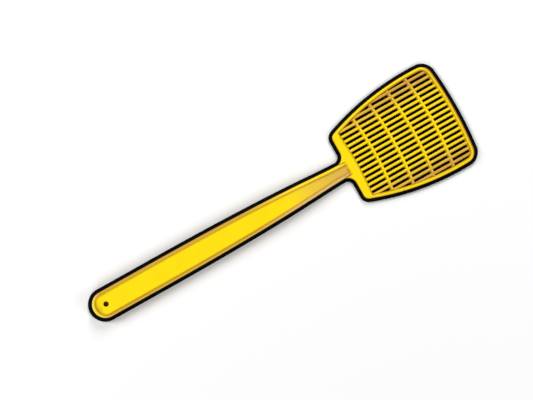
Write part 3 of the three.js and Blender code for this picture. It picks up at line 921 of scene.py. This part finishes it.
def lattice_tree():
    """Bars in rows and ribs across them on a thin sheet, pierced by the slots and trimmed to the field."""
    tree = bpy.data.node_groups.new("Slotted lattice", "GeometryNodeTree")
    face = tree.interface
    face.new_socket("Slot places", in_out="INPUT", socket_type="NodeSocketGeometry")
    shape_names = ("Sheet", "Bar", "Rib", "Slot", "Field")
    for name in shape_names:
        face.new_socket(name, in_out="INPUT", socket_type="NodeSocketObject")
    for name in ("Bars", "Ribs"):
        face.new_socket(name, in_out="INPUT", socket_type="NodeSocketInt")
    for name in ("Bar pitch", "First rib", "Rib pitch"):
        face.new_socket(name, in_out="INPUT", socket_type="NodeSocketFloat")
    face.new_socket("Material", in_out="INPUT", socket_type="NodeSocketMaterial")
    face.new_socket("Lattice", in_out="OUTPUT", socket_type="NodeSocketGeometry")
    given = node(tree, "NodeGroupInput").outputs
    shapes = {
        name: node(tree, "GeometryNodeObjectInfo", {"Object": given[name]}).outputs["Geometry"]
        for name in shape_names
    }
    spaces = node(tree, "ShaderNodeMath", {0: given["Bars"], 1: 1.0}, operation="SUBTRACT")
    start = times(tree, times(tree, spaces.outputs[0], given["Bar pitch"]), -0.5)
    bar_line = node(
        tree, "GeometryNodeMeshLine",
        {
            "Count": given["Bars"],
            "Start Location": node(tree, "ShaderNodeCombineXYZ", {1: start}).outputs[0],
            "Offset": node(tree, "ShaderNodeCombineXYZ", {1: given["Bar pitch"]}).outputs[0],
        },
    )
    rib_line = node(
        tree, "GeometryNodeMeshLine",
        {
            "Count": given["Ribs"],
            "Start Location": node(tree, "ShaderNodeCombineXYZ", {0: given["First rib"]}).outputs[0],
            "Offset": node(tree, "ShaderNodeCombineXYZ", {0: given["Rib pitch"]}).outputs[0],
        },
    )
    bars = node(
        tree, "GeometryNodeInstanceOnPoints", {"Points": bar_line.outputs[0], "Instance": shapes["Bar"]},
    )
    ribs = node(
        tree, "GeometryNodeInstanceOnPoints", {"Points": rib_line.outputs[0], "Instance": shapes["Rib"]},
    )
    length = node(tree, "GeometryNodeInputNamedAttribute", {"Name": "slot_length"}, data_type="FLOAT")
    stretch = node(tree, "ShaderNodeCombineXYZ", {0: length.outputs[0], 1: 1.0, 2: 1.0})
    slots = node(
        tree, "GeometryNodeInstanceOnPoints",
        {"Points": given["Slot places"], "Instance": shapes["Slot"], "Scale": stretch.outputs[0]},
    )
    joined = node(
        tree, "GeometryNodeMeshBoolean",
        {"Mesh 2": [shapes["Sheet"], bars.outputs[0], ribs.outputs[0]]},
        operation="UNION", solver="MANIFOLD",
    )
    pierced = node(
        tree, "GeometryNodeMeshBoolean", {"Mesh 1": joined.outputs[0], "Mesh 2": slots.outputs[0]},
        operation="DIFFERENCE", solver="MANIFOLD",
    )
    trimmed = node(
        tree, "GeometryNodeMeshBoolean", {"Mesh 2": [pierced.outputs[0], shapes["Field"]]},
        operation="INTERSECT", solver="MANIFOLD",
    )
    real = node(tree, "GeometryNodeRealizeInstances", {0: trimmed.outputs[0]})
    finished = node(
        tree, "GeometryNodeSetMaterial", {"Geometry": real.outputs[0], "Material": given["Material"]},
    )
    node(tree, "NodeGroupOutput", {0: finished.outputs[0]})
    return tree


def use_tree(obj, tree, values):
    """Runs a Geometry Nodes tree on the object with these inputs, and keeps the result as its mesh."""
    modifier = obj.modifiers.new(tree.name, "NODES")
    modifier.node_group = tree
    for item in tree.interface.items_tree:
        if item.item_type == "SOCKET" and item.in_out == "INPUT" and item.name in values:
            modifier[item.identifier] = values[item.name]
    bpy.context.view_layer.update()
    return evaluated(obj)


def make_lattice():
    field = slotted_field(BORDER + RIM - LATTICE_LAP, FIELD_FROM_X - LATTICE_LAP)
    shapes = {
        "Sheet": slab("sheet_shape", field, FRONT_Z, SHEET_TOP),
        "Bar": bar_shape(),
        "Rib": rib_shape(),
        "Slot": slot_shape(),
        "Field": slab("field_shape", field, 0, ABOVE),
    }
    lattice = use_tree(slot_places(), lattice_tree(), {
        **shapes,
        "Bars": 2 * ROWS + 2,
        "Ribs": RIBS,
        "Bar pitch": ROW_PITCH * MM,
        "First rib": RIB_FROM_X * MM,
        "Rib pitch": RIB_PITCH * MM,
        "Material": YELLOW_GRILLE,
    })
    for shape in shapes.values():
        bpy.data.objects.remove(shape)
    return lattice


def make_grille():
    top = SHOULDER_TOP
    # The bead's outer side, rounded over to its crest.
    edge = [
        (BORDER, FRONT_Z), (BORDER + 0.08, top - 1.7), (BORDER + 0.25, top - 1.0),
        (BORDER + 0.55, top - 0.45), (BORDER + 0.95, top - 0.14), (BORDER + 1.45, top - 0.02),
        (BORDER + 1.8, top),
    ]
    grille = loft("head_grille_moulding", [
        level(moved_in(NEAR_HEAD, inset, closed=True), z) for inset, z in edge
    ])
    beyond = box("beyond", WINGS_FROM_X - 1, FAR_X + SPARE, HEAD_HALF + SPARE, 0, ABOVE)
    boolean(grille, "INTERSECT", beyond)
    # The pocket's wall: the bead's inner flank slopes, and the shoulder ends in a short steep step.
    wall = [(0.0, 0, CUT_FROM), (0.0, 0, 3.3), (-0.35, -0.1, 3.9), (-0.8, -0.2, top - 0.6)]
    wall += [(-1.2, -0.3, top - 0.28), (-1.6, -0.42, top - 0.08), (-2.0, -0.55, top), (-2.1, -0.6, top + 1)]
    pocket = loft("pocket", [
        level(slotted_field(BORDER + RIM + rim, FIELD_FROM_X + line), z) for rim, line, z in wall
    ])
    side = moved_in(strap_edge(SEAM_X), BORDER - 0.15, closed=False)
    side[0, 0] = STRAP_END_X + 0.15
    strap_room = slab("strap_room", np.vstack([side, side[::-1] * (1, -1)]), 0, ABOVE)
    boolean(grille, "DIFFERENCE", pocket, strap_room)
    boolean(grille, "UNION", make_lattice())
    boolean(grille, "DIFFERENCE", *pilots(head_screws, HEAD_PILOT_TOP))
    finish_mesh(grille, YELLOW_GRILLE, "head")
    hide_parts("head_grille")


def make_head_backing():
    backing = loft("head_backing_moulding", [
        level(moved_in(NEAR_HEAD, inset, closed=True), z) for inset, z in plate_section(0)
    ])
    beyond = box("beyond", HEAD_FROM_X + SEAM / 2, FAR_X + SPARE, HEAD_HALF + SPARE, -1, ABOVE)
    boolean(backing, "INTERSECT", beyond)
    boolean(backing, "DIFFERENCE", *counterbores(head_screws + tip_screws))
    finish_mesh(backing, BLACK, "head")
    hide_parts("head_backing")


# ---- screws --------------------------------------------------------------------------------------


def screw_shape():
    """A small pan-head screw with a cross recess, head down, with the head's face at the origin."""
    screw = turned("screw_shape", 0, 0, [
        (1.55, 0), (1.9, 0.08), (2.07, 0.26), (SCREW_HEAD_RADIUS, 0.5), (SCREW_HEAD_RADIUS, 0.85),
        (1.0, 0.86), (1.0, 3.2), (0.35, 3.8),
    ], 32)
    cross = []
    for half_x, half_y in ((1.15, 0.24), (0.24, 1.15)):
        wide = rectangle(-half_x, half_x, half_y)
        cross.append(loft("recess", [level(wide, -0.2), level(wide * 0.8, 0.55)]))
    return boolean(screw, "DIFFERENCE", *cross)


def screws_tree():
    """One screw at each point, each turned a different way."""
    tree = bpy.data.node_groups.new("Screws", "GeometryNodeTree")
    face = tree.interface
    face.new_socket("Places", in_out="INPUT", socket_type="NodeSocketGeometry")
    face.new_socket("Screw", in_out="INPUT", socket_type="NodeSocketObject")
    face.new_socket("Seed", in_out="INPUT", socket_type="NodeSocketInt")
    face.new_socket("Material", in_out="INPUT", socket_type="NodeSocketMaterial")
    face.new_socket("Screws", in_out="OUTPUT", socket_type="NodeSocketGeometry")
    given = node(tree, "NodeGroupInput").outputs
    screw = node(tree, "GeometryNodeObjectInfo", {"Object": given["Screw"]}).outputs["Geometry"]
    turn = node(
        tree, "FunctionNodeRandomValue",
        {"Min": (0, 0, 0), "Max": (0, 0, math.pi), "Seed": given["Seed"]}, data_type="FLOAT_VECTOR",
    )
    placed = node(
        tree, "GeometryNodeInstanceOnPoints",
        {"Points": given["Places"], "Instance": screw, "Rotation": turn.outputs[0]},
    )
    real = node(tree, "GeometryNodeRealizeInstances", {0: placed.outputs[0]})
    finished = node(
        tree, "GeometryNodeSetMaterial", {"Geometry": real.outputs[0], "Material": given["Material"]},
    )
    node(tree, "NodeGroupOutput", {0: finished.outputs[0]})
    return tree


def make_screws():
    shape, tree = screw_shape(), screws_tree()
    groups = {
        "handle": ("handle_fasteners", ("handle_screw", "neck_root_screw"), 3),
        "head": ("head_fasteners", ("head_screw", "neck_tip_screw"), 5),
    }
    for body, (name, kinds, seed) in groups.items():
        nodes = screw_nodes(*kinds)
        mesh = bpy.data.meshes.new(name)
        mesh.from_pydata((np.array([screw_place(n) for n in nodes]) * MM).tolist(), [], [])
        screws = bpy.data.objects.new(name, mesh)
        bpy.context.scene.collection.objects.link(screws)
        use_tree(screws, tree, {"Screw": shape, "Seed": seed, "Material": ZINC})
        finish_mesh(screws, ZINC, body)
        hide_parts(*nodes)
    bpy.data.objects.remove(shape)


# ---- camera, floor and light ---------------------------------------------------------------------

ROLL = math.radians(29.3)  # the swatter's length against the view's width
LENS = 100
SENSOR = 36
VIEW_WIDTH = 0.5941  # metres across the view at the swatter
AIM_RIGHT, AIM_UP = -8.1, 11.1  # the middle of the view from the swatter's middle
AIM_Z = 4
SOFT_BOX_ELEVATION, SOFT_BOX_DISTANCE, SOFT_BOX_SIZE = 28, 2.4, 0.8


def make_camera():
    data = bpy.data.cameras.new("camera")
    data.lens, data.sensor_width = LENS, SENSOR
    camera = bpy.data.objects.new("camera", data)
    bpy.context.scene.collection.objects.link(camera)
    turn = Matrix.Rotation(-ROLL, 3, "Z")
    back = turn @ Vector((0, 0, 1))
    right, up = turn @ Vector((1, 0, 0)), turn @ Vector((0, 1, 0))
    aim = Vector((0, 0, AIM_Z * MM)) + right * AIM_RIGHT * MM + up * AIM_UP * MM
    camera.location = aim + back * (VIEW_WIDTH * LENS / SENSOR)
    camera.rotation_euler = turn.to_euler()
    data.clip_end = 20
    bpy.context.scene.camera = camera


def make_floor():
    """Matt white painted board."""
    material, tree = new_material("white_painted_board")
    place = node(tree, "ShaderNodeTexCoord").outputs["Object"]
    tooth = node(tree, "ShaderNodeTexNoise", {"Vector": place, "Scale": 1 / (2 * MM), "Detail": 2})
    bump = node(
        tree, "ShaderNodeBump",
        {"Height": tooth.outputs[0], "Distance": 0.02 * MM, "Strength": 0.3},
    )
    shader = node(
        tree, "ShaderNodeBsdfPrincipled",
        {"Base Color": linear("#FBFBFB"), "Roughness": 0.9, "Normal": bump.outputs[0]},
    )
    node(tree, "ShaderNodeOutputMaterial", {"Surface": shader.outputs[0]})
    mesh = bpy.data.meshes.new("floor")
    side = 4
    mesh.from_pydata(level(rectangle(-side, side, side), 0).tolist(), [], [(0, 1, 2, 3)])
    mesh.materials.append(material)
    floor = bpy.data.objects.new("floor", mesh)
    bpy.context.scene.collection.objects.link(floor)


def make_light(name, azimuth, power):
    """A square soft box that faces the swatter. Azimuth is in degrees, counter-clockwise from +X."""
    data = bpy.data.lights.new(name, "AREA")
    data.shape, data.size, data.energy = "SQUARE", SOFT_BOX_SIZE, power
    light = bpy.data.objects.new(name, data)
    a, e = math.radians(azimuth), math.radians(SOFT_BOX_ELEVATION)
    way = Vector((math.cos(a) * math.cos(e), math.sin(a) * math.cos(e), math.sin(e)))
    light.location = way * SOFT_BOX_DISTANCE
    light.rotation_euler = way.to_track_quat("Z", "Y").to_euler()
    bpy.context.scene.collection.objects.link(light)


def make_stage():
    make_floor()
    make_light("key_left", 132, 36)
    make_light("key_right", 48, 38.5)
    make_light("fill_right", -45, 21.5)
    make_light("fill_left", 228, 22.7)
    world = bpy.data.worlds.new("studio")
    bpy.context.scene.world = world
    world.use_nodes = True
    world.node_tree.nodes.clear()
    glow = node(world.node_tree, "ShaderNodeBackground", {"Color": (0.95, 0.97, 1, 1), "Strength": 0.1})
    node(world.node_tree, "ShaderNodeOutputWorld", {"Surface": glow.outputs[0]})
    bpy.context.scene.view_settings.view_transform = "Standard"


# ---- assembly ------------------------------------------------------------------------------------

make_camera()
make_handle()
make_back_cover()
neck, neck_backing = make_neck(), make_neck_backing()
make_grille()
make_head_backing()
make_screws()
make_stage()

# The neck and its backing keep their placement, baked into their meshes.
for piece in (neck, neck_backing):
    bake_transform(piece)
